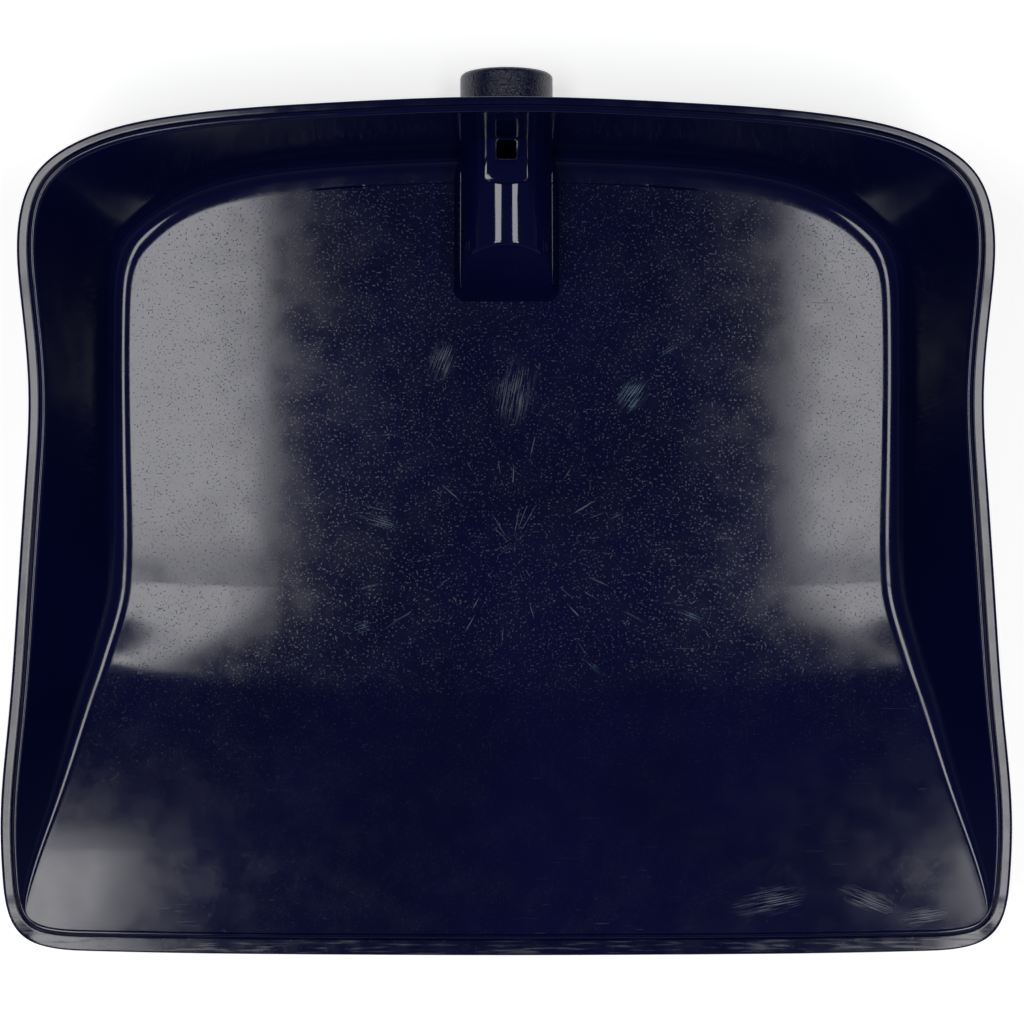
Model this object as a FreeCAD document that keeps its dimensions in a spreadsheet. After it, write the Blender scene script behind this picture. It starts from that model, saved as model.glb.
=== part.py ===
"""Moulded scoop head: a wide plastic pan with a rolled rim and a socket for a wooden handle.

Frame: millimetres, +Z up, +Y towards the handle, origin under the middle of the pan on the surface it rests on.
The head is one moulding on the real object. Here each zone of it is a solid of its own, face to face with the next.
"""
import math
import os

import FreeCAD, Part
import Sketcher
from FreeCAD import Placement, Vector

# Driving dimensions, in millimetres and degrees
SIZES = {
    "wall": 3.0,
    "skim": 0.2,
    "side_flange": 5.5,
    "back_flange": 4.0,
    "flange_depth": 4.0,
    "rear_crease": -31.0,
    "front_crease": -84.0,
    "rear_edge": 215.0,
    "front_edge": -240.0,
    "floor_top": 3.0,
    "middle_slope": 6.0,
    "front_slope": 15.5,
    "lip_slope": 10.0,
    "dish_rise": 6.0,
    "dish_half_width": 240.0,
    "lip_inner": -211.5,
    "lip_bow": 3.5,
    "block_top": 130.0,
    "reach": 300.0,
    "side_split": 104.0,
    "socket_radius": 23.3,
    "socket_axis": 25.0,
    "socket_foot": 28.75,
    "socket_end": 220.3,
    "collar_start": 199.0,
    "collar_round": 2.5,
    "hump_top_end": 132.8,
    "hump_foot_end": 106.0,
    "hump_back": 187.0,
    "bore_radius": 18.25,
    "bore_end": 134.0,
    "seat_half_width": 11.0,
    "seat_front": 164.0,
    "seat_back": 187.0,
    "seat_top": 45.5,
    "seat_depth": 2.0,
    "square_hole": 9.5,
    "square_centre": 179.5,
}

# The rim's outer edge from the front corner to the middle of the back: x, y, draft of the wall under it
RIM = [
    (241.0, -240.0, 34.0),
    (246.5, -192.0, 34.0),
    (248.6, -151.0, 33.0),
    (243.8, -102.0, 26.0),
    (237.6, -42.0, 24.0),
    (231.6, 15.0, 17.0),
    (228.3, 58.0, 12.5),
    (230.4, 100.0, 13.0),
    (231.2, 134.0, 15.0),
    (222.5, 160.0, 17.0),
    (199.8, 176.5, 15.0),
    (160.0, 187.0, 9.0),
    (88.2, 193.4, 5.0),
    (0.0, 196.5, 5.0),
]

# Height of the rim along the head: y, z
RIM_HEIGHT = [(240.0, 97.5), (130.0, 97.0), (58.0, 87.0), (-20.0, 72.5), (-90.0, 61.0), (-150.0, 55.0),
              (-195.0, 49.5), (-245.0, 46.0)]

# Front corner and lip of the rim's outer edge, from the side to the middle: x, y
LIP = [(246.5, -192.0), (243.4, -203.0), (236.1, -211.5), (224.8, -215.6), (158.7, -218.4), (0.0, -220.3)]

doc = FreeCAD.newDocument("scoop_head")
sheet = doc.addObject("Spreadsheet::Sheet", "sizes")
for row, (alias, value) in enumerate(SIZES.items(), start=1):
    sheet.set(f"A{row}", alias)
    sheet.set(f"B{row}", str(value))
    sheet.setAlias(f"B{row}", alias)
doc.recompute()


def size(alias):
    """The sheet's value of one driving dimension."""
    return float(getattr(sheet, alias))


def spline(points):
    """One smooth edge through the points."""
    curve = Part.BSplineCurve()
    curve.interpolate(points)
    return curve.toShape()


def rim_height(y):
    """Height of the rim's top face at y, between the stations of RIM_HEIGHT."""
    for (y1, z1), (y2, z2) in zip(RIM_HEIGHT, RIM_HEIGHT[1:]):
        if y >= y2:
            return z1 + (z2 - z1) * (y1 - y) / (y1 - y2)
    return RIM_HEIGHT[-1][1]


def mirrored(points):
    """A half outline's points, and their mirror images after them, without the middle one twice."""
    return points + [Vector(-p.x, p.y, p.z) for p in reversed(points[:-1])]


def rim_normals():
    """Outward direction, level with the ground, at each station of the rim."""
    outline = mirrored([Vector(x, y, 0) for x, y, _ in RIM])
    curve = spline(outline).Curve
    normals = []
    for x, y, _ in RIM:
        tangent = Vector(*curve.tangent(curve.parameter(Vector(x, y, 0)))[0])
        normals.append(Vector(tangent.y, -tangent.x, 0))
    return normals


def wall_ring(level, outward):
    """Closed outline of the walls' inner face at a height, moved outward. Its top meets the flange's inner edge."""
    points = []
    for (x, y, draft), normal in zip(RIM, rim_normals()):
        flange = size("side_flange") + (size("back_flange") - size("side_flange")) * max(0.0, normal.y)
        inward = flange - outward + (rim_height(y) - level) * math.tan(math.radians(draft))
        points.append(Vector(x, y, level) - normal * inward)
    side = spline(mirrored(points))
    front = Part.makeLine(side.Vertexes[-1].Point, side.Vertexes[0].Point)
    return Part.Wire([side, front])


def wall_block(outward):
    """Everything inside the walls' inner face moved outward."""
    rings = [wall_ring(0.0, outward), wall_ring(size("block_top"), outward)]
    return Part.makeLoft(rings, True, True)


def floor_height(x, y):
    """Height of the floor's top face: flat at the rear, then two facets that rise to the lip, the last one dished."""
    middle = size("rear_crease") - size("front_crease")
    if y >= size("rear_crease"):
        return size("floor_top")
    if y >= size("front_crease"):
        return size("floor_top") + (size("rear_crease") - y) * math.tan(math.radians(size("middle_slope")))
    start = size("floor_top") + middle * math.tan(math.radians(size("middle_slope")))
    run = size("front_crease") - y
    whole = size("front_crease") - size("front_edge")
    first, last = (math.tan(math.radians(size(name))) for name in ("front_slope", "lip_slope"))
    rise = first * run + (last - first) * run * run / (2.0 * whole)
    return start + rise + size("dish_rise") * (x / size("dish_half_width")) ** 2 * run / whole


def space_above(drop):
    """Everything above the floor's top face lowered by drop."""
    stations = [size("rear_edge"), size("rear_crease"), size("front_crease"), -115.0, -150.0, -195.0,
                size("front_edge")]
    reach, top = size("reach"), size("block_top")
    sections = []
    for y in stations:
        base = spline([Vector(x, y, floor_height(x, y) - drop) for x in (-reach, -reach / 2, 0, reach / 2, reach)])
        corners = [Vector(reach, y, top), Vector(-reach, y, top)]
        sides = [Part.makeLine(base.Vertexes[-1].Point, corners[0]), Part.makeLine(*corners),
                 Part.makeLine(corners[1], base.Vertexes[0].Point)]
        sections.append(Part.Wire([base] + sides))
    return Part.makeLoft(sections, True, True)


def space_below_rim(drop):
    """Everything below the rim's top face lowered by drop."""
    reach = size("reach")
    line = spline([Vector(-reach, y, z - drop) for y, z in RIM_HEIGHT])
    front, back = line.Vertexes[-1].Point, line.Vertexes[0].Point
    corners = [front, Vector(-reach, front.y, -reach), Vector(-reach, back.y, -reach), back]
    outline = Part.Wire([line, Part.makePolygon(corners)])
    return Part.Face(outline).extrude(Vector(2 * reach, 0, 0))


def space_behind_lip():
    """Everything behind the bowed line between the lip and the floor."""
    reach, middle = size("reach"), size("lip_inner")
    side = middle + size("lip_bow")
    ends = [Vector(-reach, side, 0), Vector(reach, side, 0)]
    front = Part.Arc(ends[0], Vector(0, middle, 0), ends[1]).toShape()
    corners = [ends[1], Vector(reach, reach, 0), Vector(-reach, reach, 0), ends[0]]
    return upright(Part.Wire([front, Part.makePolygon(corners)]))


def upright(outline):
    """A level outline as a tall block, from under the head to above it."""
    block = Part.Face(outline).extrude(Vector(0, 0, 2 * size("block_top")))
    block.translate(Vector(0, 0, -size("wall")))
    return block


def space_within_rim():
    """Everything inside the rim's outer edge, lip included."""
    back = spline(mirrored([Vector(x, y, 0) for x, y, _ in RIM[1:]]))
    front = spline(mirrored([Vector(x, y, 0) for x, y in LIP]))
    return upright(Part.Wire([back, front]))


def flange_hole():
    """Everything inside the flange's inner edge, open past the lip."""
    points = []
    for (x, y, _), normal in zip(RIM, rim_normals()):
        flange = size("side_flange") + (size("back_flange") - size("side_flange")) * max(0.0, normal.y)
        points.append(Vector(x, y, 0) - normal * flange)
    side = spline(mirrored(points))
    front = Part.makeLine(side.Vertexes[-1].Point, side.Vertexes[0].Point)
    return upright(Part.Wire([side, front]))


def feature(label, shape):
    """A free-form sub-part as an object of the document."""
    node = doc.addObject("Part::Feature", label)
    node.Label = label
    node.Shape = shape
    node.Placement = Placement()
    return node


def origin_plane(body, role):
    """One of a body's own origin planes."""
    return next(item for item in body.Origin.OriginFeatures if item.Role == role)


def new_body(label):
    """An empty body of the document."""
    body = doc.addObject("PartDesign::Body", label)
    body.Label = label
    doc.recompute()
    return body


def sketch_on(body, name, role, offset="0"):
    """A sketch on an origin plane of its body, moved along the plane's normal by an expression."""
    sketch = body.newObject("Sketcher::SketchObject", name)
    sketch.AttachmentSupport = (origin_plane(body, role), [""])
    sketch.MapMode = "FlatFace"
    sketch.setExpression("AttachmentOffset.Base.z", offset)
    return sketch


def drive(sketch, kind, ends, expression):
    """A dimension of a sketch bound to an expression; a negative one is measured the other way round."""
    value = float(sheet.evalExpression(expression))
    if value < 0:
        ends, expression = ends[2:] + ends[:2], f"-({expression})"
    at = sketch.addConstraint(Sketcher.Constraint(kind, *ends, abs(value)))
    sketch.setExpression(f"Constraints[{at}]", expression)


def add_circle(sketch, radius, height):
    """A circle centred on the sketch's vertical axis, its radius and height given by expressions."""
    centre = Vector(0, float(sheet.evalExpression(height)), 0)
    at = sketch.addGeometry(Part.Circle(centre, Vector(0, 0, 1), float(sheet.evalExpression(radius))))
    sketch.addConstraint(Sketcher.Constraint("PointOnObject", at, 3, -2))
    drive(sketch, "Radius", (at,), radius)
    drive(sketch, "DistanceY", (-1, 1, at, 3), height)


def add_polygon(sketch, corners):
    """A closed outline through corners given by pairs of expressions."""
    points = [Vector(*(float(sheet.evalExpression(axis)) for axis in corner), 0) for corner in corners]
    for start, end in zip(points, points[1:] + points[:1]):
        sketch.addGeometry(Part.LineSegment(start, end))
    for side, (across, up) in enumerate(corners):
        before = (side - 1) % len(corners)
        sketch.addConstraint(Sketcher.Constraint("Coincident", before, 2, side, 1))
        drive(sketch, "DistanceX", (-1, 1, side, 1), across)
        drive(sketch, "DistanceY", (-1, 1, side, 1), up)


def rectangle(half_width, low, high):
    """The corners of a rectangle about the vertical axis, as expressions."""
    return [(f"-({half_width})", low), (half_width, low), (half_width, high), (f"-({half_width})", high)]


def pad(body, name, sketch, length, reverse=False):
    """A pad of a sketch, its length an expression."""
    solid = body.newObject("PartDesign::Pad", name)
    solid.Profile = sketch
    solid.setExpression("Length", length)
    solid.Reversed = reverse
    doc.recompute()
    return solid


def pocket(body, name, sketch, length, reverse=False, both_ways=False):
    """A pocket of a sketch, its length an expression, checked to have cut something."""
    before = body.Shape.Volume
    hole = body.newObject("PartDesign::Pocket", name)
    hole.Profile = sketch
    hole.setExpression("Length", length)
    hole.Reversed = reverse
    hole.Midplane = both_ways
    doc.recompute()
    if body.Shape.Volume > before - 1.0:
        raise RuntimeError(f"{name} cuts nothing")


def make_handle_socket():
    """The socket: a tube through the back wall that ends in a hump with a sloped face, on a drafted foot."""
    body = new_body("handle_socket")
    tube = sketch_on(body, "tube_outline", "XZ_Plane", "-sizes.collar_start")
    add_circle(tube, "sizes.socket_radius", "sizes.socket_axis")
    pad(body, "tube", tube, "sizes.collar_start - sizes.hump_foot_end")
    foot = sketch_on(body, "foot_outline", "XZ_Plane", "-sizes.hump_back")
    add_polygon(foot, [("-sizes.socket_foot", "sizes.floor_top"), ("sizes.socket_foot", "sizes.floor_top"),
                       ("sizes.socket_radius", "sizes.socket_axis"), ("-sizes.socket_radius", "sizes.socket_axis")])
    pad(body, "foot", foot, "sizes.hump_back - sizes.hump_foot_end")
    slope = sketch_on(body, "slope_outline", "YZ_Plane")
    top = "sizes.socket_axis + sizes.socket_radius"
    add_polygon(slope, [("sizes.hump_foot_end", "sizes.floor_top"), ("sizes.hump_top_end", top),
                        ("sizes.hump_foot_end - 1", top), ("sizes.hump_foot_end - 1", "0")])
    pocket(body, "sloped_end", slope, "4 * sizes.socket_foot", both_ways=True)
    return body


def bore_socket(body):
    """The socket's hollows: the blind bore, the seat's recess and the square hole."""
    bore = sketch_on(body, "bore_outline", "XZ_Plane", "-sizes.collar_start")
    add_circle(bore, "sizes.bore_radius", "sizes.socket_axis")
    pocket(body, "bore", bore, "sizes.collar_start - sizes.bore_end", reverse=True)
    recess = sketch_on(body, "recess_outline", "XY_Plane", "sizes.seat_top - sizes.seat_depth")
    add_polygon(recess, rectangle("sizes.seat_half_width", "sizes.seat_front", "sizes.seat_back"))
    pocket(body, "seat_recess", recess, "sizes.socket_radius", reverse=True)
    add_square_hole(body)


def add_square_hole(body):
    """The square hole for the bolt's neck, down from the seat into the bore."""
    square = sketch_on(body, "square_outline", "XY_Plane", "sizes.seat_top")
    low, high = (f"sizes.square_centre {sign} sizes.square_hole / 2" for sign in "-+")
    add_polygon(square, rectangle("sizes.square_hole / 2", low, high))
    pocket(body, "square_hole", square, "sizes.seat_top - sizes.socket_axis")


def make_bolt_seat():
    """The flat seat on the hump for the bolt's head."""
    body = new_body("bolt_seat")
    plate = sketch_on(body, "plate_outline", "XY_Plane", "sizes.seat_top - sizes.seat_depth")
    add_polygon(plate, rectangle("sizes.seat_half_width", "sizes.seat_front", "sizes.seat_back"))
    pad(body, "plate", plate, "sizes.seat_depth")
    add_square_hole(body)
    return body


def make_socket_collar():
    """The grained collar round the socket's mouth, with a rounded end."""
    body = new_body("socket_collar")
    ring = sketch_on(body, "ring_outline", "XZ_Plane", "-sizes.collar_start")
    add_circle(ring, "sizes.socket_radius", "sizes.socket_axis")
    add_circle(ring, "sizes.bore_radius", "sizes.socket_axis")
    sleeve = pad(body, "ring", ring, "sizes.socket_end - sizes.collar_start", reverse=True)
    edges = sleeve.Shape.Edges
    mouth = max(range(len(edges)), key=lambda at: rank_edge(edges[at]))
    lip = body.newObject("PartDesign::Fillet", "rounded_end")
    lip.Base = (sleeve, [f"Edge{mouth + 1}"])
    lip.setExpression("Radius", "sizes.collar_round")
    doc.recompute()
    return body


def rank_edge(edge):
    """Orders a ring's edges so that the outer circle of the mouth comes last."""
    return edge.BoundBox.YMin + edge.BoundBox.XLength


def tube_space():
    """The socket's tube as a plain cylinder, which the floor is hollowed for."""
    start = Vector(0, size("hump_foot_end"), size("socket_axis"))
    return Part.makeCylinder(size("socket_radius"), size("socket_end") - start.y, start, Vector(0, 1, 0))


# The socket and what sits on it
handle_socket = make_handle_socket()
socket_space = handle_socket.Shape.copy()
bore_socket(handle_socket)
bodies = [handle_socket, make_bolt_seat(), make_socket_collar()]

# The free-form zones of the moulding
inside = wall_block(0.0)
outside = wall_block(size("wall"))
reach = size("reach")
above_ground = Part.makeBox(2 * reach, 2 * reach, reach, Vector(-reach, -reach, 0))
above_underside = space_above(size("wall") + size("skim")).common(above_ground)
floor_sheet = above_underside.cut(space_above(0.0))
behind_lip = space_behind_lip()
within_rim = space_within_rim()
walls = outside.cut(inside).common(above_underside).common(space_below_rim(size("flange_depth")))
walls = walls.common(behind_lip).common(within_rim).cut(socket_space)
flange = within_rim.cut(flange_hole()).common(behind_lip)
flange = flange.common(space_below_rim(0.0)).cut(space_below_rim(size("flange_depth")))
rear = Part.makeBox(2 * reach, reach, reach, Vector(-reach, size("side_split"), -reach / 2))
left = Part.makeBox(reach, 2 * reach, 2 * reach, Vector(-reach, -reach, -reach))
sides = walls.cut(rear)

zones = {
    "floor_plate": floor_sheet.common(inside).common(behind_lip).cut(tube_space()),
    "front_lip": floor_sheet.common(within_rim).cut(behind_lip),
    "back_wall": walls.common(rear),
    "left_wall": sides.common(left),
    "right_wall": sides.cut(left),
    "rim_flange": flange,
}
nodes = bodies + [feature(label, shape) for label, shape in zones.items()]
doc.recompute()

for item in doc.Objects:
    if {"Invalid", "Error"} & set(item.State):
        raise RuntimeError(f"{item.Label} failed: {item.State}")
os.makedirs("parts", exist_ok=True)
for node in nodes:
    if node.Shape.isNull() or not node.Shape.isValid():
        raise RuntimeError(f"{node.Label} has no valid shape")
    print(f"{node.Label}: {len(node.Shape.Solids)} solid, {node.Shape.Volume / 1000:.1f} cm3")
    node.Shape.exportStep(f"parts/{node.Label}.step")
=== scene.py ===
"""Looks of the moulded scoop head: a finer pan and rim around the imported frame, materials, light and camera.

Metres, +Z up, +Y towards the handle. Heights and outlines repeat the CAD part's driving dimensions.
"""
import math

import bmesh
import bpy
import numpy as np
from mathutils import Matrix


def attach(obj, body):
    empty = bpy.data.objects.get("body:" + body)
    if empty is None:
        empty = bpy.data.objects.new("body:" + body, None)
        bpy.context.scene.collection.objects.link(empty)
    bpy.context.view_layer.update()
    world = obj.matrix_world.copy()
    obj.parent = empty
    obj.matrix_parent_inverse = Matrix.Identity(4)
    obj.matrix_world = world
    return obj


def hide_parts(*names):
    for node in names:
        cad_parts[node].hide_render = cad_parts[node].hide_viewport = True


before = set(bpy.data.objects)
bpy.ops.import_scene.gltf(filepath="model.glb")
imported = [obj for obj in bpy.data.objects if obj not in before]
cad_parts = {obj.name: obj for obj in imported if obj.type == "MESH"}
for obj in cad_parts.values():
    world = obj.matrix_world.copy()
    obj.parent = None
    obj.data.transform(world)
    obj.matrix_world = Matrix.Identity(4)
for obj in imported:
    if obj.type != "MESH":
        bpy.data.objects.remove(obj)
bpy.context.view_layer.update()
MM = 0.001

# Half of the rim's outer edge, from the middle of the lip to the middle of the back, in millimetres:
# x, y, draft of the wall in degrees, radius of the wall's foot, width of the flat band
OUTLINE = [
    (0.0, -220.3, 34.0, 2.0, 7.8), (90.0, -219.7, 34.0, 2.0, 7.8), (158.7, -218.5, 34.0, 2.0, 7.8),
    (205.0, -217.0, 34.0, 2.0, 7.6), (226.5, -214.8, 34.0, 3.0, 7.2), (238.0, -210.0, 34.0, 4.0, 6.6),
    (244.3, -202.5, 34.0, 5.0, 6.0), (247.2, -193.0, 34.0, 7.0, 5.6), (248.4, -180.0, 34.0, 9.0, 5.5),
    (248.6, -151.0, 33.0, 11.0, 5.5), (243.8, -102.0, 26.0, 15.0, 5.5), (237.6, -42.0, 24.0, 17.0, 5.5),
    (231.6, 15.0, 17.0, 16.0, 5.5), (228.3, 58.0, 12.5, 15.0, 5.5), (230.4, 100.0, 13.0, 15.0, 5.5),
    (231.2, 134.0, 15.0, 16.0, 5.4), (222.5, 160.0, 17.0, 17.0, 5.0), (199.8, 176.5, 15.0, 17.0, 4.5),
    (160.0, 187.0, 9.0, 17.0, 4.2), (88.2, 193.4, 5.0, 17.0, 4.0), (0.0, 196.5, 5.0, 17.0, 4.0),
]
RIM_HEIGHT = [(-245.0, 46.0), (-195.0, 49.5), (-150.0, 55.0), (-90.0, 61.0), (-20.0, 72.5), (58.0, 87.0),
              (130.0, 97.0), (200.0, 98.5)]
FLANGE_DEPTH = 4.0
WALL = 3.0

# The floor: where it creases and bends along Y, how it slopes in degrees, and how its front is dished
REAR_CREASE = -42.0
FRONT_CREASE = -88.0
CREASE_BOW = 4.0
CREASE_BOW_HALF_WIDTH = 200.0
LIP_BEND = -188.0
REAR_SOFTNESS = 3.5
FRONT_SOFTNESS = 8.0
LIP_SOFTNESS = 20.0
FLOOR_TOP = 3.0
MIDDLE_SLOPE = 4.5
FRONT_SLOPE = 16.5
LIP_SLOPE = 9.5
DISH_RISE = 7.8
DISH_HALF_WIDTH = 240.0
LIP_RISE_START = -188.0
LIP_RISE_END = -218.0
LIP_STEP = 0.5

# The socket: its tube and bore, the hump over it and the hump's flared foot
SOCKET_RADIUS = 23.3
SOCKET_AXIS = 25.0
BORE_RADIUS = 18.25
BORE_END = 134.0
OPEN_FROM = 150.0
TUBE_START = 170.0
COLLAR_START = 199.0
HUMP_FOOT_HALF = 28.75
HUMP_FOOT_END = 106.0
HUMP_TOP_END = 132.8
HUMP_BACK = 178.0
HUMP_ROUND = 1.6
FOOT_CORNER = 5.5
FLARE_TOP = 13.0
SKIRT_REACH = 1.5

# The bolt's seat and its square hole
SEAT_HALF = 11.0
SEAT_FRONT = 166.0
SEAT_BACK = 188.5
SEAT_TOP = 45.5
SEAT_DEPTH = 2.0
SEAT_SAG = 4.0
SEAT_GAP = 0.25
SEAT_ROUND = 0.45
SQUARE_HOLE = 9.5
SQUARE_CENTRE = 179.5
SQUARE_ROUND = 1.2
ABOVE_HUMP = 60.0

# How finely the pan is divided, and how far its wall's turns are evened out
TURN_SPREAD = 26.0
STATIONS = 640
WALL_POINTS = 24
FOOT_POINTS = 20
FLOOR_POINTS = 80


def natural_spline(stations, at):
    """Values of every column at positions along a natural cubic spline through the stations."""
    data = np.array(stations, dtype=float)
    knots = np.concatenate([[0.0], np.cumsum(np.hypot(*np.diff(data[:, :2], axis=0).T))])
    gaps = np.diff(knots)
    size = len(knots)
    system, right = np.eye(size), np.zeros_like(data)
    for i in range(1, size - 1):
        system[i, i - 1:i + 2] = gaps[i - 1], 2 * (gaps[i - 1] + gaps[i]), gaps[i]
        right[i] = 6 * ((data[i + 1] - data[i]) / gaps[i] - (data[i] - data[i - 1]) / gaps[i - 1])
    bends = np.linalg.solve(system, right)
    place = at(knots)
    seg = np.clip(np.searchsorted(knots, place, side="right") - 1, 0, size - 2)
    gap, low, high = gaps[seg][:, None], (knots[seg + 1] - place)[:, None], (place - knots[seg])[:, None]
    return (bends[seg] * low ** 3 / (6 * gap) + bends[seg + 1] * high ** 3 / (6 * gap)
            + (data[seg] / gap - bends[seg] * gap / 6) * low
            + (data[seg + 1] / gap - bends[seg + 1] * gap / 6) * high)


def half_outline(count):
    """Evenly spaced stations of the rim's right half, on a spline that runs on past both middles."""
    flip = np.array([-1.0, 1.0, 1.0, 1.0, 1.0])
    data = np.array(OUTLINE)
    extra = 4
    whole = np.concatenate([data[extra:0:-1] * flip, data, data[-2:-2 - extra:-1] * flip])
    line = natural_spline(whole, lambda knots: np.linspace(knots[extra], knots[-1 - extra], count))
    line[0, 0] = line[-1, 0] = 0.0
    return line


def ease(value, low, high):
    """0 below low, 1 above high, smooth between."""
    share = np.clip((value - low) / (high - low), 0.0, 1.0)
    return share * share * (3 - 2 * share)


def soft_ramp(run, width):
    """run where it is positive and 0 where it is negative, rounded over width about 0."""
    return np.where(run > width, run, np.where(run < -width, 0.0, (run + width) ** 2 / (4 * width)))


def floor_height(x, y):
    """Height of the floor: flat at the rear, then two rising facets with bowed creases, dished in front."""
    bow = CREASE_BOW * (x / CREASE_BOW_HALF_WIDTH) ** 2
    middle = soft_ramp(REAR_CREASE + bow - y, REAR_SOFTNESS)
    front = soft_ramp(FRONT_CREASE + bow - y, FRONT_SOFTNESS)
    lip = soft_ramp(LIP_BEND - y, LIP_SOFTNESS)
    low, mid, high = (math.tan(math.radians(slope)) for slope in (MIDDLE_SLOPE, FRONT_SLOPE, LIP_SLOPE))
    rise = low * middle + (mid - low) * front + (high - mid) * lip
    forward = 1 - ease(y, FRONT_CREASE + bow - FRONT_SOFTNESS, REAR_CREASE + bow)
    dish = DISH_RISE * (x / DISH_HALF_WIDTH) ** 2 * forward
    return FLOOR_TOP + rise + dish


def rim_top(x, y):
    """Height of the rim: a curve along the sides and back that comes down to the floor at the lip."""
    curve = natural_spline(RIM_HEIGHT, lambda knots: np.linspace(0.0, knots[-1], 400))
    side = np.interp(y, curve[:, 0], curve[:, 1])
    share = ease(y, LIP_RISE_END, LIP_RISE_START)
    return side * share + (floor_height(x, y) + LIP_STEP) * (1 - share)


def spread(values, width):
    """values smoothed by a bell curve that many stations wide, mirrored past the last one."""
    reach = int(3 * width)
    bell = np.exp(-0.5 * (np.arange(-reach, reach + 1) / width) ** 2)
    before = np.full(reach, values[0])
    after = 2 * values[-1] - values[-2:-2 - reach:-1]
    return np.convolve(np.concatenate([before, values, after]), bell / bell.sum(), mode="valid")


class Rim:
    """The right half of the rim: its stations, outward normals, heights and band widths."""

    def __init__(self, count):
        line = half_outline(count)
        step = np.gradient(line[:, :2], axis=0)
        step /= np.linalg.norm(step, axis=1)[:, None]
        self.x, self.y = line[:, 0], line[:, 1]
        turn = np.unwrap(np.arctan2(-step[:, 0], step[:, 1]))
        gap = np.hypot(*np.diff(line[:2, :2], axis=0)[0])
        turn = np.where(self.y > 0.0, spread(turn, TURN_SPREAD / gap), turn)
        self.normal = np.stack([np.cos(turn), np.sin(turn)], axis=1)
        self.normal[0] = 0.0, -1.0
        self.normal[-1] = 0.0, 1.0
        self.draft, self.radius, self.band = np.radians(line[:, 2]), line[:, 3], line[:, 4]
        self.top = rim_top(self.x, self.y)

    def place(self, inward):
        """x and y of points that far inside the rim's outer edge."""
        return self.x - self.normal[:, 0] * inward, self.y - self.normal[:, 1] * inward

    def ring(self, inward, height):
        """A ring of points from their distance inside the edge and their height."""
        return np.stack([*self.place(inward), height], axis=1)


def wall_rings(rim):
    """Rings of points down the wall's inner face, and then round its foot onto the floor."""
    drop = rim.top - FLOOR_TOP
    for _ in range(60):
        x, y = rim.place(rim.band + drop * np.tan(rim.draft))
        drop = 0.5 * drop + 0.5 * np.maximum(rim.top - floor_height(x, y), 0.4)
    foot = np.stack([rim.band + drop * np.tan(rim.draft), rim.top - drop], axis=1)
    near, far = floor_height(*rim.place(foot[:, 0] + 4.0)), floor_height(*rim.place(foot[:, 0] + 10.0))
    slope = np.arctan2(far - near, 6.0)
    up = np.stack([-np.sin(rim.draft), np.cos(rim.draft)], axis=1)
    along = np.stack([np.cos(slope), np.sin(slope)], axis=1)
    opening = np.arccos((up * along).sum(axis=1))
    radius = np.minimum(rim.radius, 0.85 * drop / np.cos(rim.draft) * np.tan(opening / 2))
    middle = (up + along) / np.linalg.norm(up + along, axis=1)[:, None]
    centre = foot + middle * (radius / np.sin(opening / 2))[:, None]
    start = foot + up * (radius / np.tan(opening / 2))[:, None] - centre
    top = np.stack([rim.band, rim.top], axis=1)
    rings = []
    for share in np.linspace(0.0, 1.0, WALL_POINTS, endpoint=False):
        flat = top * (1 - share) + (centre + start) * share
        rings.append(rim.ring(flat[:, 0], flat[:, 1]))
    for share in np.linspace(0.0, 1.0, FOOT_POINTS):
        angle = (math.pi - opening) * share
        across = centre[:, 0] + start[:, 0] * np.cos(angle) - start[:, 1] * np.sin(angle)
        height = centre[:, 1] + start[:, 0] * np.sin(angle) + start[:, 1] * np.cos(angle)
        straight = foot[:, 1] + (across - foot[:, 0]) * np.tan(slope)
        height += (floor_height(*rim.place(across)) - straight) * ease(share, 0.0, 1.0)
        rings.append(rim.ring(across, height))
    return rings


def whole_ring(ring):
    """A right half ring with its mirror image after it, so that it runs once round."""
    return np.concatenate([ring, ring[-2:0:-1] * np.array([-1.0, 1.0, 1.0])])


def add_mesh(name, points, faces, masks=None):
    """A smooth mesh from points in millimetres that rides on the head, with masks' values at its points."""
    mesh = bpy.data.meshes.new(name)
    mesh.from_pydata((np.asarray(points) * MM).tolist(), [], faces)
    mesh.update()
    mesh.polygons.foreach_set("use_smooth", [True] * len(mesh.polygons))
    for mask, values in (masks or {}).items():
        layer = mesh.attributes.new(mask, "FLOAT", "POINT")
        layer.data.foreach_set("value", np.asarray(values, dtype=np.float32))
    piece = bpy.data.objects.new(name, mesh)
    bpy.context.scene.collection.objects.link(piece)
    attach(piece, "root")
    return piece


def strip_faces(rings, count):
    """Quads between neighbouring closed rings of count points."""
    faces = []
    for a in range(0, (rings - 1) * count, count):
        b = a + count
        for c in range(count):
            d = (c + 1) % count
            faces.append((a + c, b + c, b + d, a + d))
    return faces


def point_normals(points, faces):
    """Unit normals of points, from the faces round each."""
    corners = points[np.array(faces)]
    normal = np.cross(corners[:, 2] - corners[:, 0], corners[:, 3] - corners[:, 1])
    total = np.zeros_like(points)
    for corner in range(4):
        np.add.at(total, np.array(faces)[:, corner], normal)
    return total / np.maximum(np.linalg.norm(total, axis=1), 1e-12)[:, None]


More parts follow.
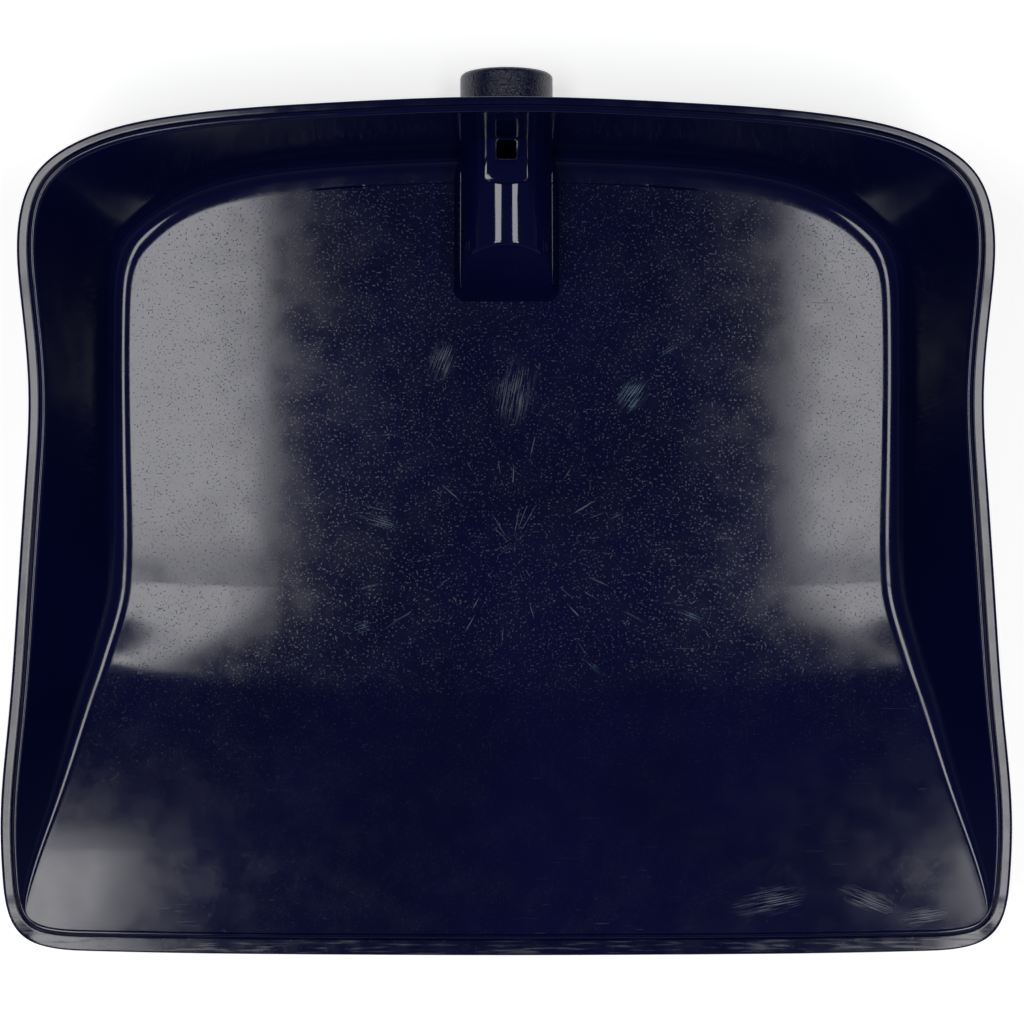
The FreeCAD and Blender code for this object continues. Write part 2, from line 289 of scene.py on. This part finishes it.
def make_pan(rim):
    """The pan: walls, their rounded foot and the floor, with a second skin, open where the socket passes."""
    rings = [whole_ring(ring) for ring in wall_rings(rim)]
    edge = rings[-1]
    for share in np.linspace(0.0, 1.0, FLOOR_POINTS + 1)[1:]:
        x = edge[:, 0] * (1 - share)
        rings.append(np.stack([x, edge[:, 1], floor_height(x, edge[:, 1])], axis=1))
    count = len(edge)
    skin = np.concatenate(rings)
    faces = strip_faces(len(rings), count)
    # These normals point down and outwards, so the second skin lies above and inside the first
    second_skin = skin - point_normals(skin, faces) * WALL
    second_skin[:, 2] = np.maximum(second_skin[:, 2], 0.0)
    total = len(skin)
    flipped = [tuple(total + corner for corner in reversed(face)) for face in faces]
    edges = [(c, (c + 1) % count, total + (c + 1) % count, total + c) for c in range(count)]
    points = np.concatenate([skin, second_skin])
    middles = points[np.array(faces + flipped)].mean(axis=1)
    off_axis = np.hypot(middles[:, 0], middles[:, 2] - SOCKET_AXIS)
    through = (off_axis < (SOCKET_RADIUS + BORE_RADIUS) / 2) & (middles[:, 1] > OPEN_FROM)
    kept = [face for face, gone in zip(faces + flipped, through) if not gone]
    order = np.repeat(np.arange(len(rings)), count)
    floor_share = ease(order, WALL_POINTS + FOOT_POINTS - 5, WALL_POINTS + FOOT_POINTS + 1)
    masks = {"floor_share": np.concatenate([floor_share, floor_share])}
    pan = add_mesh("pan_shell", points, kept + edges, masks)
    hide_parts("floor_plate", "left_wall", "right_wall", "back_wall")
    return pan


def make_rim_band(rim):
    """The flat band round the rim and along the lip, with rounded edges that turn down."""
    section = [(0.9, -FLANGE_DEPTH), (0.2, -3.6), (0.0, -2.9), (0.0, -1.1)]
    section += [(0.15, -0.5), (0.5, -0.12), (1.0, 0.0)]
    rings = [rim.ring(np.full(len(rim.x), across), rim.top + drop) for across, drop in section]
    for share in np.linspace(0.15, 0.9, 6):
        rings.append(rim.ring(1.0 + (rim.band - 1.6) * share, rim.top))
    for back, drop in [(0.6, -0.02), (0.3, -0.12), (0.1, -0.35), (0.0, -0.8), (-0.4, -FLANGE_DEPTH)]:
        rings.append(rim.ring(rim.band - back, rim.top + drop))
    rings.append(rings[0])
    rings = [whole_ring(ring) for ring in rings]
    count = len(rings[0])
    band = add_mesh("rim_band", np.concatenate(rings), strip_faces(len(rings), count))
    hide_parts("rim_flange", "front_lip")
    return band


def add_solid(name, outline, low, high, axis, top_outline=None):
    """A closed prism in millimetres along Y or Z, straight or tapered to a second outline."""
    def spot(point, at):
        return (point[0], at, point[1]) if axis == "Y" else (point[0], point[1], at)

    count = len(outline)
    points = [spot(point, low) for point in outline]
    points += [spot(point, high) for point in top_outline or outline]
    sides = [(c, (c + 1) % count, count + (c + 1) % count, count + c) for c in range(count)]
    ends = [tuple(range(count))[::-1], tuple(range(count, 2 * count))]
    mesh = bpy.data.meshes.new(name)
    mesh.from_pydata((np.array(points) * MM).tolist(), [], sides + ends)
    work = bmesh.new()
    work.from_mesh(mesh)
    bmesh.ops.recalc_face_normals(work, faces=work.faces)
    work.to_mesh(mesh)
    work.free()
    solid = bpy.data.objects.new(name, mesh)
    bpy.context.scene.collection.objects.link(solid)
    return solid


def apply_modifiers(piece):
    """The piece's mesh with its modifiers made permanent."""
    bpy.context.view_layer.update()
    seen = piece.evaluated_get(bpy.context.evaluated_depsgraph_get())
    mesh = bpy.data.meshes.new_from_object(seen)
    piece.modifiers.clear()
    piece.data = mesh


def combine(piece, other, operation):
    """Adds or cuts another solid, which is then removed."""
    change = piece.modifiers.new(operation.lower(), "BOOLEAN")
    change.operation, change.object, change.solver = operation, other, "EXACT"
    apply_modifiers(piece)
    bpy.data.objects.remove(other)


def round_edges(piece, width, sharpest=35.0):
    """Rounds the sharp edges of a piece, width in millimetres."""
    bevel = piece.modifiers.new("rounding", "BEVEL")
    bevel.width, bevel.segments, bevel.limit_method = width * MM, 3, "ANGLE"
    bevel.angle_limit = math.radians(sharpest)
    apply_modifiers(piece)


def shade(piece):
    """Smooth shading that stops at sharp edges."""
    mesh = piece.data
    mesh.polygons.foreach_set("use_smooth", [True] * len(mesh.polygons))
    mesh.set_sharp_from_angle(angle=math.radians(32.0))


def arc(radius, centre, start, end, count):
    """Points along an arc, its angles in degrees from +X."""
    angles = np.radians(np.linspace(start, end, count))
    return [(centre[0] + radius * math.cos(a), centre[1] + radius * math.sin(a)) for a in angles]


def rounded_square(side, centre, radius):
    """A square's outline with rounded corners."""
    reach = side / 2 - radius
    corners = [(1, 1, 0), (-1, 1, 90), (-1, -1, 180), (1, -1, 270)]
    return [point for right, up, start in corners
            for point in arc(radius, (right * reach, centre + up * reach), start, start + 90, 5)]


def seat_outline(grow=0.0):
    """The flat seat's outline: straight sides and a bowed front edge."""
    half, back = SEAT_HALF + grow, SEAT_BACK + grow
    across = np.cos(np.linspace(math.pi, 0, 25))
    bow = [(half * c, SEAT_FRONT - grow - SEAT_SAG * math.sqrt(1 - c * c)) for c in across]
    return [(half, back), (-half, back)] + bow


def foot_outline(half, front):
    """The hump's foot seen from above: two sides and a front with rounded corners."""
    corner = FOOT_CORNER
    left = arc(corner, (-half + corner, front + corner), 180, 270, 9)
    right = arc(corner, (half - corner, front + corner), 270, 360, 9)
    return [(-half, HUMP_BACK)] + left + right + [(half, HUMP_BACK)]


def make_hump(lean):
    """The crowned hump, its end leaning back by lean for each millimetre of height, on a flared foot."""
    crown = arc(SOCKET_RADIUS, (0.0, SOCKET_AXIS), 0.0, 180.0, 65)
    outline = [(-SOCKET_RADIUS, FLOOR_TOP - 0.5), (SOCKET_RADIUS, FLOOR_TOP - 0.5)] + crown
    hump = add_solid("socket_hump", outline, HUMP_FOOT_END - 1.0, HUMP_BACK, "Y")
    block = [(-60.0, 0.0), (60.0, 0.0), (60.0, ABOVE_HUMP), (-60.0, ABOVE_HUMP)]
    wedge = add_solid("wedge", block, 80.0, 100.0, "Y")
    for vertex in wedge.data.vertices:
        if vertex.co.y > 90.0 * MM:
            vertex.co.y = (HUMP_FOOT_END + lean * (vertex.co.z / MM - FLOOR_TOP)) * MM
    combine(hump, wedge, "DIFFERENCE")
    round_edges(hump, HUMP_ROUND)
    foot = foot_outline(HUMP_FOOT_HALF, HUMP_FOOT_END)
    narrow = foot_outline(SOCKET_RADIUS - 0.1, HUMP_FOOT_END + lean * (FLARE_TOP - FLOOR_TOP) + 0.1)
    combine(hump, add_solid("flare", foot, FLOOR_TOP - 0.5, FLARE_TOP, "Z", narrow), "UNION")
    skirt = foot_outline(HUMP_FOOT_HALF + SKIRT_REACH, HUMP_FOOT_END - SKIRT_REACH)
    combine(hump, add_solid("skirt", skirt, FLOOR_TOP - 0.1, FLOOR_TOP + 0.15, "Z", foot), "UNION")
    return hump


def tube_solid(name, radius, start, end):
    """A round bar along the socket's axis."""
    return add_solid(name, arc(radius, (0.0, SOCKET_AXIS), 0, 357, 120), start, end, "Y")


def make_socket():
    """The hump with its tube, bore, recess and square hole, and the bolt's seat."""
    rise = SOCKET_AXIS + SOCKET_RADIUS - FLOOR_TOP
    hump = make_hump((HUMP_TOP_END - HUMP_FOOT_END) / rise)
    combine(hump, tube_solid("tube", SOCKET_RADIUS, TUBE_START, COLLAR_START), "UNION")
    combine(hump, tube_solid("bore", BORE_RADIUS, BORE_END, COLLAR_START + 1), "DIFFERENCE")
    recess = add_solid("recess", seat_outline(SEAT_GAP), SEAT_TOP - SEAT_DEPTH, ABOVE_HUMP, "Z")
    combine(hump, recess, "DIFFERENCE")
    hole = rounded_square(SQUARE_HOLE, SQUARE_CENTRE, SQUARE_ROUND)
    combine(hump, add_solid("square", hole, SOCKET_AXIS, ABOVE_HUMP, "Z"), "DIFFERENCE")
    seat = add_solid("seat_plate", seat_outline(), SEAT_TOP - SEAT_DEPTH, SEAT_TOP, "Z")
    combine(seat, add_solid("square", hole, 30.0, ABOVE_HUMP, "Z"), "DIFFERENCE")
    round_edges(seat, SEAT_ROUND, 50.0)
    for piece, node in ((hump, "handle_socket"), (seat, "bolt_seat")):
        shade(piece)
        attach(piece, "root")
        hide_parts(node)
    return [hump, seat]


def node_tree(name):
    """A new material's nodes, links and shader."""
    material = bpy.data.materials.new(name)
    material.use_nodes = True
    tree = material.node_tree
    return material, tree, tree.nodes["Principled BSDF"]


class Builder:
    """Short calls that add nodes to a tree and wire them."""

    def __init__(self, tree):
        self.tree = tree
        self.object = tree.nodes.new("ShaderNodeTexCoord").outputs["Object"]

    def node(self, kind, inputs=(), **settings):
        """A node with its settings, and its inputs set to values or linked to outputs."""
        made = self.tree.nodes.new(kind)
        for name, value in settings.items():
            setattr(made, name, value)
        for key, value in dict(inputs).items():
            if isinstance(value, bpy.types.NodeSocket):
                self.tree.links.new(value, made.inputs[key])
            else:
                made.inputs[key].default_value = value
        return made

    def math(self, operation, *values):
        """A Math node's output."""
        return self.node("ShaderNodeMath", enumerate(values), operation=operation).outputs[0]

    def noise(self, scale, detail=2.0, vector=None, stretch=(1.0, 1.0, 1.0), turn=0.0):
        """Noise in metres, stretched and turned about Z."""
        place = {"Vector": vector or self.object, "Scale": stretch, "Rotation": (0.0, 0.0, turn)}
        moved = self.node("ShaderNodeMapping", place).outputs[0]
        inputs = {"Vector": moved, "Scale": scale, "Detail": detail}
        return self.node("ShaderNodeTexNoise", inputs).outputs["Fac"]

    def between(self, value, low, high, out_low=0.0, out_high=1.0):
        """value from low to high, mapped smoothly to the outgoing range."""
        inputs = {"Value": value, "From Min": low, "From Max": high, "To Min": out_low, "To Max": out_high}
        return self.node("ShaderNodeMapRange", inputs, interpolation_type="SMOOTHSTEP").outputs[0]

    def mix(self, share, first, second):
        """A colour between two."""
        mixed = self.tree.nodes.new("ShaderNodeMix")
        mixed.data_type = "RGBA"
        live = [socket for socket in mixed.inputs if socket.enabled and socket.type in ("RGBA", "VALUE")]
        for key, value in (("Factor", share), ("A", first), ("B", second)):
            socket = next(socket for socket in live if socket.name == key)
            if isinstance(value, bpy.types.NodeSocket):
                self.tree.links.new(value, socket)
            else:
                socket.default_value = value
        return next(socket for socket in mixed.outputs if socket.type == "RGBA")


NAVY = (0.0015, 0.0026, 0.0265, 1.0)
NAVY_LIGHTER = tuple(c * 1.25 for c in NAVY[:3]) + (1.0,)
NAVY_WORN = (0.0035, 0.0060, 0.0290, 1.0)
COLLAR_BLUE = (0.004, 0.007, 0.060, 1.0)
PALE = (0.040, 0.052, 0.090, 1.0)
CYAN = (0.004, 0.060, 0.105, 1.0)
GLOSS_IOR = 1.5
BUMP_DEPTH = 0.0002
COLLAR_BUMP_DEPTH = 0.0004
SPECKLE_SCALE = 1300.0
STIPPLE_SCALE = 1150.0
SCRATCH_SCALE = 1100.0
SCRATCH_RARITY = 0.71
SCRATCH_HEADINGS = (62.0, 118.0, 12.0)

# Marks rubbed into the floor: x, y, half length, half width in millimetres, direction in degrees, strength
BLUE_RUBS = [
    (64.0, 60.0, 11.0, 8.0, 55.0, 1.0), (-65.0, -5.0, 14.0, 4.5, -15.0, 0.55),
    (94.0, -53.0, 8.0, 3.0, -20.0, 0.7), (-74.0, -59.0, 5.0, 4.0, 20.0, 0.5),
    (43.0, -78.0, 9.0, 2.5, -40.0, 0.4), (82.0, 82.0, 9.0, 3.0, 35.0, 0.4),
    (56.0, -2.0, 5.0, 1.6, 25.0, 0.5),
]
PALE_RUBS = [
    (-33.0, 78.0, 14.0, 9.0, 70.0, 0.8), (4.0, 62.0, 22.0, 14.0, 80.0, 0.8),
    (130.0, -193.0, 22.0, 8.0, 12.0, 0.9), (178.0, -192.0, 18.0, 6.0, -20.0, 0.8),
    (205.0, -200.0, 14.0, 5.0, 10.0, 0.7),
]
GATE = (3.0, -17.0)


def from_place(b, x, y):
    """The vector to each point from a place in millimetres."""
    place = {0: b.object, 1: (x * MM, y * MM, 0.0)}
    return b.node("ShaderNodeVectorMath", place, operation="SUBTRACT").outputs[0]


def rub(b, place, edge_noise):
    """How strongly one rubbed mark shows at each point: streaks inside a soft oval."""
    x, y, length, width, heading, strength = place
    turned = {"Vector": from_place(b, x, y), "Angle": -math.radians(heading)}
    flat = b.node("ShaderNodeVectorRotate", turned, rotation_type="Z_AXIS").outputs[0]
    scaled = {0: flat, 1: (1 / (length * MM), 1 / (width * MM), 0.0)}
    share = b.node("ShaderNodeVectorMath", scaled, operation="MULTIPLY").outputs[0]
    away = b.node("ShaderNodeVectorMath", {0: share}, operation="LENGTH").outputs["Value"]
    streaks = b.noise(1.0, 4.0, flat, stretch=(60.0, 1500.0, 1.0))
    oval = b.between(b.math("ADD", away, b.math("MULTIPLY", edge_noise, 0.9)), 0.6, 1.45, 1.0, 0.0)
    return b.math("MULTIPLY", b.math("MULTIPLY", b.between(streaks, 0.45, 0.62), oval), strength)


def strongest(b, values):
    """The largest of several outputs at each point."""
    total = values[0]
    for value in values[1:]:
        total = b.math("MAXIMUM", total, value)
    return total


def scratch_lines(b, heading):
    """Sparse thin straight scratches in one direction."""
    stretch = (SCRATCH_SCALE * 0.03, SCRATCH_SCALE, 1.0)
    bands = b.noise(1.0, 2.0, stretch=stretch, turn=math.radians(heading))
    patches = b.noise(14.0, 2.0)
    lines = b.between(bands, SCRATCH_RARITY, SCRATCH_RARITY + 0.035)
    return b.math("MULTIPLY", lines, b.between(patches, 0.5, 0.66))


def gate_marks(b):
    """Short scratches that fan out from the moulding's gate."""
    spot = from_place(b, *GATE)
    parts = b.node("ShaderNodeSeparateXYZ", {0: spot})
    angle = b.math("ARCTAN2", parts.outputs["Y"], parts.outputs["X"])
    away = b.node("ShaderNodeVectorMath", {0: spot}, operation="LENGTH").outputs["Value"]
    around = b.math("MULTIPLY", angle, 26.0)
    outward = b.math("MULTIPLY", away, 34.0)
    polar = b.node("ShaderNodeCombineXYZ", {0: around, 1: outward})
    lines = b.noise(1.0, 3.0, polar.outputs[0])
    near = b.between(away, 0.012, 0.10, 1.0, 0.0)
    return b.math("MULTIPLY", b.between(lines, 0.66, 0.72), near)


def finish_plastic(b, shader, colour, rough, height, depth=BUMP_DEPTH):
    """Wires a plastic's colour, roughness and bumps, depth in metres, to its shader."""
    bump = b.node("ShaderNodeBump", {"Height": height, "Strength": 1.0, "Distance": depth})
    shader.inputs["IOR"].default_value = GLOSS_IOR
    for source, socket in ((bump.outputs[0], "Normal"), (colour, "Base Color"), (rough, "Roughness")):
        b.tree.links.new(source, shader.inputs[socket])


def smooth_plastic(b, roughness):
    """Colour, roughness and height of clean plastic: soft waviness and a little colour drift."""
    colour = b.mix(b.between(b.noise(11.0, 3.0), 0.35, 0.65), NAVY, NAVY_LIGHTER)
    height = b.math("MULTIPLY", b.noise(18.0, 2.0), 0.1)
    rough = b.between(b.noise(60.0, 4.0), 0.3, 0.7, roughness, roughness * 1.5)
    return colour, rough, height


def socket_plastic(name):
    """The socket's plastic: clean and glossy."""
    material, tree, shader = node_tree(name)
    b = Builder(tree)
    finish_plastic(b, shader, *smooth_plastic(b, 0.05))
    return material


def pan_plastic(name, grain, roughness):
    """The pan's plastic: speckled towards the rear of the floor, with scratches and rubbed marks."""
    material, tree, shader = node_tree(name)
    b = Builder(tree)
    colour, rough, height = smooth_plastic(b, roughness)
    floor = b.node("ShaderNodeAttribute", attribute_name="floor_share").outputs["Fac"]
    along = b.node("ShaderNodeSeparateXYZ", {0: b.object}).outputs["Y"]
    grained = b.math("MULTIPLY", floor, b.between(along, -0.16, -0.04, 0.25, 1.0))
    speckle = b.math("ADD", b.between(b.noise(SPECKLE_SCALE, 1.0), 0.66, 0.84),
                     b.math("MULTIPLY", b.noise(SPECKLE_SCALE * 0.45, 1.0), 0.25))
    height = b.math("ADD", height, b.math("MULTIPLY", b.math("MULTIPLY", speckle, grain), grained))
    dents = b.math("MULTIPLY", b.between(b.noise(SPECKLE_SCALE * 0.8, 0.0), 0.68, 0.72), grained)
    rough = b.math("ADD", rough, b.math("MULTIPLY", dents, 0.2))
    edge_noise = b.noise(70.0, 3.0)
    pale = strongest(b, [rub(b, place, edge_noise) for place in PALE_RUBS] + [gate_marks(b)])
    blue = strongest(b, [rub(b, place, edge_noise) for place in BLUE_RUBS])
    lines = strongest(b, [scratch_lines(b, heading) for heading in SCRATCH_HEADINGS])
    lines = b.math("MULTIPLY", lines, b.math("MULTIPLY", floor, 0.3))
    whitened = b.math("MAXIMUM", pale, b.math("MULTIPLY", lines, 0.6))
    colour = b.mix(blue, b.mix(whitened, colour, PALE), CYAN)
    marks = b.math("MAXIMUM", b.math("MAXIMUM", pale, blue), lines)
    rough = b.math("ADD", rough, b.math("MULTIPLY", marks, 0.35))
    height = b.math("SUBTRACT", height, b.math("MULTIPLY", marks, 0.05))
    finish_plastic(b, shader, colour, rough, height)
    return material


def rim_plastic(name):
    """The band's plastic: the same navy, dulled and pale along the lip where it scrapes the ground."""
    material, tree, shader = node_tree(name)
    b = Builder(tree)
    parts = b.node("ShaderNodeSeparateXYZ", {0: b.object})
    lip = b.between(parts.outputs["Y"], -0.205, -0.185, 0.55, 0.05)
    streaks = b.between(b.noise(1.0, 4.0, stretch=(45.0, 700.0, 300.0)), 0.5, 0.68)
    specks = b.between(b.noise(650.0, 3.0), 0.6, 0.75)
    wear = b.math("MULTIPLY", b.math("MAXIMUM", streaks, b.math("MULTIPLY", specks, 0.5)), lip)
    colour = b.mix(b.math("MULTIPLY", wear, 0.35), NAVY, PALE)
    clean = b.between(b.noise(90.0, 3.0), 0.3, 0.7, 0.10, 0.16)
    rough = b.math("ADD", clean, b.math("MULTIPLY", wear, 0.3))
    height = b.math("ADD", b.math("MULTIPLY", b.noise(25.0, 2.0), 0.2), b.math("MULTIPLY", wear, -0.06))
    finish_plastic(b, shader, colour, rough, height)
    return material


def collar_plastic(name):
    """The collar's plastic: finely stippled."""
    material, tree, shader = node_tree(name)
    b = Builder(tree)
    stipple = b.noise(STIPPLE_SCALE, 2.0)
    colour = b.mix(b.between(stipple, 0.4, 0.65), NAVY_WORN, COLLAR_BLUE)
    rough = b.between(b.noise(200.0, 3.0), 0.3, 0.7, 0.2, 0.3)
    finish_plastic(b, shader, colour, rough, stipple, COLLAR_BUMP_DEPTH)
    return material


def paint(obj, material):
    """One material over the whole of a piece or a carried-over node."""
    obj.data.materials.clear()
    obj.data.materials.append(material)


# Light panels in metres: from where to where across, and from where to where along
PANEL_SIDES = (("left", -0.246, -0.540), ("right", 0.290, 0.560))
PANEL_RUNS = (("front", -0.750, -0.074), ("rear", -0.048, 0.352))
PANEL_HEIGHT = 1.153
PANEL_RADIANCE = 6.5


def add_panel(name, low, high, height, radiance):
    """A rectangular soft light facing down, between two corners at a height, all in metres."""
    size = [b - a for a, b in zip(low, high)]
    light = bpy.data.lights.new(name, "AREA")
    light.shape = "RECTANGLE"
    light.size, light.size_y = size
    light.energy = radiance * math.pi * size[0] * size[1]
    panel = bpy.data.objects.new(name, light)
    panel.location = (*((a + b) / 2 for a, b in zip(low, high)), height)
    bpy.context.scene.collection.objects.link(panel)


def make_stage():
    """A plain pale floor, and a world that is white to the camera and dark, darkest overhead, to the rest."""
    bpy.ops.mesh.primitive_plane_add(size=12.0, location=(0.0, 0.0, -0.0002))
    ground = bpy.context.object
    ground.name = "ground"
    material, _, shader = node_tree("ground_white")
    shader.inputs["Base Color"].default_value = (0.9, 0.9, 0.9, 1.0)
    shader.inputs["Roughness"].default_value = 0.9
    shader.inputs["Emission Color"].default_value = (1.0, 1.0, 1.0, 1.0)
    shader.inputs["Emission Strength"].default_value = 0.6
    ground.data.materials.append(material)
    world = bpy.data.worlds.new("studio")
    bpy.context.scene.world = world
    world.use_nodes = True
    tree = world.node_tree
    b = Builder(tree)
    direction = tree.nodes["Texture Coordinate"].outputs["Generated"]
    up = b.node("ShaderNodeSeparateXYZ", {0: direction}).outputs["Z"]
    tree.nodes["Background"].inputs["Color"].default_value = (1.0, 1.0, 1.0, 1.0)
    seen = b.node("ShaderNodeLightPath").outputs["Is Camera Ray"]
    glow = b.math("MAXIMUM", seen, b.between(up, 0.0, 0.5, 0.12, 0.03))
    tree.links.new(glow, tree.nodes["Background"].inputs["Strength"])


def make_camera():
    """A camera straight above the head."""
    data = bpy.data.cameras.new("camera")
    data.lens = 82.0
    data.sensor_width = 36.0
    camera = bpy.data.objects.new("camera", data)
    camera.location = (0.0028, 0.0, 1.2)
    bpy.context.scene.collection.objects.link(camera)
    bpy.context.scene.camera = camera


def make_lights():
    """Four soft panels overhead, two on each side with a gap between them."""
    for side, near, far in PANEL_SIDES:
        for part, low, high in PANEL_RUNS:
            corners = (min(near, far), low), (max(near, far), high)
            add_panel(f"panel_{side}_{part}", *corners, PANEL_HEIGHT, PANEL_RADIANCE)


make_camera()
bpy.context.scene.view_settings.view_transform = "Standard"
make_stage()
make_lights()

rim = Rim(STATIONS)
paint(make_pan(rim), pan_plastic("pan_plastic", 0.04, 0.09))
paint(make_rim_band(rim), rim_plastic("rim_plastic"))
clean_plastic = socket_plastic("socket_plastic")
for piece in make_socket():
    paint(piece, clean_plastic)
paint(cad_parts["socket_collar"], collar_plastic("collar_plastic"))
